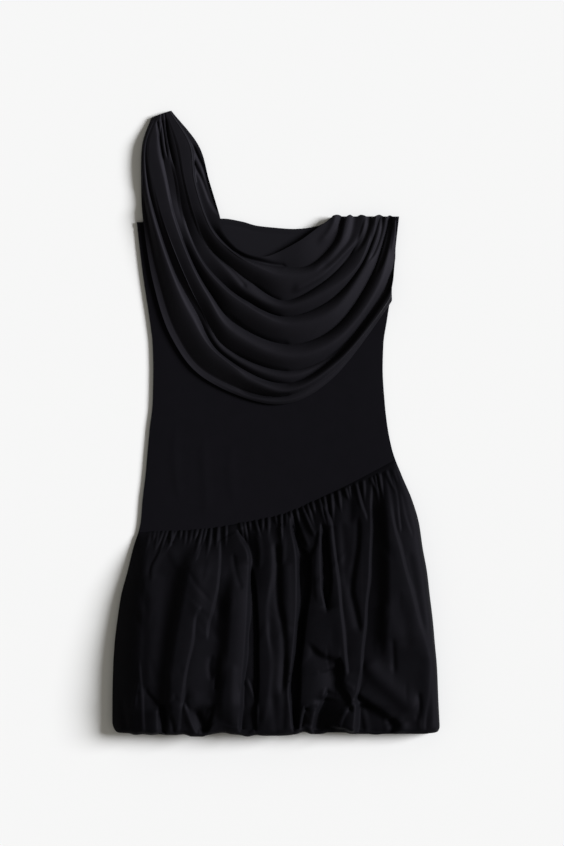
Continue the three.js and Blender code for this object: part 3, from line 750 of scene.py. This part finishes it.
        ([(331, 664), (333, 680), (330, 700)], -2.6, 12, 14, 10, 12),
        ([(354, 698), (354, 715), (352, 733)], 9, 34, 5, 8, 3),
        ([(323, 694), (320, 713), (317, 733)], -8, 8, 26, 8, 3),
        ([(361, 702), (360, 716), (359, 733)], -7, 4, 28, 6, 3),
        ([(401, 721), (402, 727), (402, 733)], 4, 20, 8, 5, 3),
        ([(193, 706), (198, 718), (204, 731)], -5, 4, 14, 6, 3),
        ([(388, 718), (392, 725), (394, 733)], -3, 8, 8, 5, 3),
        ([(361, 706), (364, 718), (367, 733)], 1.4, 3.4, 5, 6, 2),
        ([(384, 716), (386, 724), (387, 733)], 1.3, 4, 5, 5, 2),
        ([(195, 708), (201, 720), (208, 731)], -3.4, 5, 6, 6, 3),
        ([(213, 652), (210, 664), (212, 680)], -1.6, 4, 4, 8, 8),
        ([(219, 672), (216, 680), (216, 690)], -1.8, 2.4, 3, 5, 5),
        ([(233, 660), (232, 690), (234, 726)], 1.6, 8, 7, 14, 6),
        ([(272, 690), (275, 712), (277, 731)], -1.6, 6, 7, 12, 3),
        ([(285, 650), (284, 690), (283, 729)], -2, 6, 5, 22, 4),
        ([(122, 696), (124, 712), (127, 731)], -2.4, 5, 5, 12, 2),
        ([(118, 716), (118, 724), (119, 733)], 2, 4, 5, 5, 2),
        ([(170, 712), (173, 722), (174, 732)], -2.4, 3, 3.4, 5, 2),
        ([(342, 520), (344, 550), (346, 590)], -1.6, 5, 6, 12, 16),
        ([(398, 590), (404, 620), (408, 650)], -1.6, 9, 9, 16, 16),
        ([(286, 560), (287, 600), (286, 640)], 1.6, 7, 7, 14, 14),
        ([(305, 512), (310, 526), (316, 538)], 1.8, 3, 3.6, 3, 8),
        ([(297, 516), (303, 534), (309, 548)], 1.8, 3, 3.6, 3, 8),
        ([(257, 532), (260, 552), (259, 570)], 1.4, 4, 4, 3, 12),
        ([(281, 526), (283, 545), (282, 566)], 1.6, 4, 4, 3, 12),
    ],
    "backFolds": [
        ([(-150, -170), (-156, -280), (-168, -420)], 2.2, 9, 9, 30, 30),
        ([(-96, -165), (-88, -270), (-94, -420)], 2.4, 8, 9, 30, 30),
        ([(-44, -160), (-52, -260), (-46, -420)], 2.2, 9, 8, 30, 30),
        ([(8, -150), (2, -250), (12, -420)], 2.5, 8, 9, 30, 30),
        ([(58, -135), (66, -260), (60, -420)], 2.2, 9, 9, 30, 30),
        ([(108, -120), (118, -250), (122, -420)], 2.4, 8, 8, 30, 30),
        ([(150, -100), (170, -240), (182, -420)], 2.2, 9, 9, 30, 30),
    ],
}


def gatherFolds(front, form):
    # one short crest for each gather, from the hip seam down; lengths, leans and heights are seeded
    rng = np.random.default_rng(form["seed"])
    start = np.array(skirt["gathers"]) * (1 if front else form["back"])
    left, right = (readTable(pattern["sides"], form["level"], k) for k in (1, 2))
    top = readTable(pattern["hipSeam"], (start - left) / (right - left))
    spread = form["leanSpread"]
    lean = readTable(skirt["lean"], start) + rng.uniform(-spread, spread, len(start))
    length = rng.uniform(*form["length"], len(start))
    rise = form["frontRise"] if front else form["backRise"]
    height = rise * rng.uniform(*form["heights"], len(start))
    return [
        (
            [(x, y + 1), (x + k * n * form["bend"], y - n * 0.5), (x + k * n, y - n)],
            1, h, form["gentle"], h * form["deeper"], form["steep"], form["hollow"],
            form["fadeIn"], n * form["fadeOut"],
        )
        for x, y, k, n, h in zip(start, top, lean, length, height)
    ]


def crinkleFolds(look):
    # seeded small creases scattered over the skirt, most of them running down it
    rng = np.random.default_rng(look["seed"])
    count = look["count"]
    x, y = rng.uniform(*look["x"], count), rng.uniform(*look["y"], count)
    length, lean = rng.uniform(*look["length"], count), rng.normal(*look["lean"], count)
    height, reach = rng.normal(0, look["height"], count), rng.uniform(*look["reach"], count)
    return [
        (
            [(a, b), (a + k * n * look["bend"], b - n * 0.5), (a + k * n, b - n)],
            h, r, r * look["wider"], n * look["fade"], n * look["fade"],
        )
        for a, b, n, k, h, r in zip(x, y, length, lean, height, reach)
    ]


def skirtPanel(front, rows, columns):
    # rows run down from the hip seam, round the hem and a little back up inside, at the height
    # seam + rise * crown + (folds + gathers) * ramp(crown) in front, tucked under the bodice, and
    # seam - fall * flatness + folds + gathers behind; upright is an even wall's way out
    down = np.linspace(0, 1, rows) ** skirt["rowCrowding"]
    turns = np.linspace(0, math.pi, skirt["hemStrips"] + 1)[1:]
    back = np.linspace(0, skirt["hemReturn"], skirt["returnStrips"] + 1)[1:]
    extra = len(turns) + len(back)
    down = np.concatenate([down, np.ones(extra)])[:, None]
    turn = np.concatenate([np.zeros(rows), turns, np.full(len(back), math.pi)])[:, None]
    back = np.concatenate([np.zeros(rows + len(turns)), back])[:, None]
    share = np.linspace(0, 1, columns)[None, :]
    curl = 1 - np.cos(turn)
    seam = readTable(pattern["hipSeam"], share) - pattern["seamGap"] / 2
    level = seam + (skirt["hemCentre"] - seam) * down
    insetX, dropY = skirt["hemRadius"]
    y = level - dropY * np.sin(turn) + back
    x = across(share, y, insetX * curl)
    seamHeight = readTable(skirt["heights"], down)
    held = sideRise(share) * ramp(0, skirt["foldsFull"], down) * (1 - curl / 2)
    stand = pattern["seamGap"] / 2 + skirt["cadHalf"] * np.abs(np.cos(turn))
    bumps = readTable(skirt["hemBumps"], x) * ramp(skirt["bumpsStart"], 1, down) * (1 - curl / 4)
    gathers = foldSum(x, y, gatherFolds(front, skirt["gatherForm"]), sharpFold) * sideRise(share)
    if front:
        rise = readTable(skirt["heights"], down, 2) - skirt["frontHemDrop"] * curl
        folds = (
            foldSum(x, y, fromPicture(skirt["frontFolds"]), sharpFold)
            + foldSum(x, y, fromPicture(skirt["softFolds"]), softFold)
            + foldSum(x, y, crinkleFolds(skirt["crinkles"]), softFold)
        ) * held + gathers * (1 - curl / 2)
        crown = frontRise(share, x, y)
        puffed = rise * crown + folds * ramp(0, skirt["crownFull"], crown)
        z = seamHeight + stand + np.maximum(puffed, skirt["leastPuff"] * crown * down)
        tuck, tuckEnd = skirt["tuckedUnder"]
        z = z - tuck * (1 - ramp(0, tuckEnd, down))
    else:
        floor = pattern["seamGap"] / 2 + pattern["cadWall"]
        fall = seamHeight - floor - skirt["backHemDrop"] * curl
        flat = np.minimum(1, skirt["backFlatness"] * sideRise(share))
        folds = foldSum(x, y, skirt["backFolds"], softFold) * held + np.maximum(gathers, 0)
        z = seamHeight - stand - fall * flat + folds
    middle = np.stack(np.broadcast_arrays(x, y + bumps, z), -1)
    upright = np.stack(np.broadcast_arrays(0 * x, -np.sin(turn), np.cos(turn)), -1)
    length = np.cumsum(np.linalg.norm(np.gradient(middle, axis=0), axis=-1), axis=0)
    uv = np.stack([share * skirt["cutWidth"] + 0 * x, length], -1)
    return middle, upright, uv


def makeSkirt(name, nodeName, front, grid):
    # the wall's middle, thickened both ways along its normals, which all point out of the skirt; at
    # the sides and the top they are those of an even wall
    middle, upright, uv = skirtPanel(front, *grid)
    facing = (0, 0, 1) if front else (0, 0, -1)
    upright = upright * (1, 1, facing[2])
    normal = sheetNormals(middle)
    normal = normal * np.where((normal * upright).sum(-1, keepdims=True) < 0, -1, 1)
    normal[:, [0, -1]] = upright[:, [0, -1]]
    normal[0] = facing
    faces = [middle + normal * skirt["half"], middle - normal * skirt["half"]]
    for face in faces:
        face[..., 2] = np.maximum(face[..., 2], skirt["leastHeight"])
    names = "skirt_weave", nodeName
    return clothMesh(name, *faces, uv, *names, skirtWeave, skirt["sharpAngle"])


skirtBack = makeSkirt("skirtBack", "skirt_back", False, skirt["backGrid"])
skirtFront = makeSkirt("skirtFront", "skirt_front", True, skirt["frontGrid"])
print("skirt made")

# lengths in metres, angles in degrees
studio = {
    "floorSize": 30, "floorLevel": -0.001, "floorColour": (0.93, 0.93, 0.93, 1),
    "roomLight": 0.2, "roomTint": (1.0, 0.965, 0.86, 1),
    "keyStrength": 5.72, "keyTint": (0.967, 0.977, 1.0), "keyAngle": 22,
    "keyAzimuth": 12, "keyElevation": 27,
}


def makeFloor():
    # matt square just below the dress
    half = studio["floorSize"] / 2
    level = studio["floorLevel"]
    mesh = bpy.data.meshes.new("studioFloor")
    corners = [(-half, -half), (half, -half), (half, half), (-half, half)]
    mesh.from_pydata([(*corner, level) for corner in corners], [], [(0, 1, 2, 3)])
    floor = bpy.data.objects.new("studioFloor", mesh)
    bpy.context.scene.collection.objects.link(floor)
    paper = ClothShader("studioPaper")
    paper.surface.inputs["Base Color"].default_value = studio["floorColour"]
    paper.surface.inputs["Roughness"].default_value = 1.0
    paper.surface.inputs["Specular IOR Level"].default_value = 0.0
    mesh.materials.append(paper.material)


def makeLight():
    # one broad light from the right, low over the cloth, and an even room
    azimuth, elevation = math.radians(studio["keyAzimuth"]), math.radians(studio["keyElevation"])
    lamp = bpy.data.lights.new("windowLight", "SUN")
    lamp.angle = math.radians(studio["keyAngle"])
    lamp.energy = studio["keyStrength"]
    lamp.color = studio["keyTint"]
    light = bpy.data.objects.new("windowLight", lamp)
    level = math.cos(elevation)
    light.location = (level * math.cos(azimuth), level * math.sin(azimuth), math.sin(elevation))
    light.rotation_euler = (0, math.pi / 2 - elevation, azimuth)
    bpy.context.scene.collection.objects.link(light)
    world = bpy.data.worlds.new("softRoom")
    world.use_nodes = True
    room = world.node_tree.nodes["Background"]
    room.inputs["Color"].default_value = studio["roomTint"]
    room.inputs["Strength"].default_value = studio["roomLight"]
    bpy.context.scene.world = world


# middle of the view and height of the dress's level in millimetres; tall: the picture's, in pixels
camera = {
    "middle": (8.4, -0.95), "height": 12, "tall": 846, "lens": 135, "sensor": 36, "clipEnd": 20,
}


def makeCamera():
    # straight down; the picture's height fills the sensor's height at the dress's level
    view = bpy.data.cameras.new("overhead")
    view.sensor_fit = "VERTICAL"
    view.sensor_height = camera["sensor"]
    view.lens = camera["lens"]
    view.clip_end = camera["clipEnd"]
    eye = bpy.data.objects.new("overhead", view)
    away = camera["tall"] * pattern["pixel"] * camera["lens"] / camera["sensor"]
    eye.location = [mm / 1000 for mm in (*camera["middle"], away + camera["height"])]
    bpy.context.scene.collection.objects.link(eye)
    bpy.context.scene.camera = eye


makeFloor()
makeLight()
makeCamera()
bpy.context.scene.view_settings.view_transform = "Standard"
print("studio made")
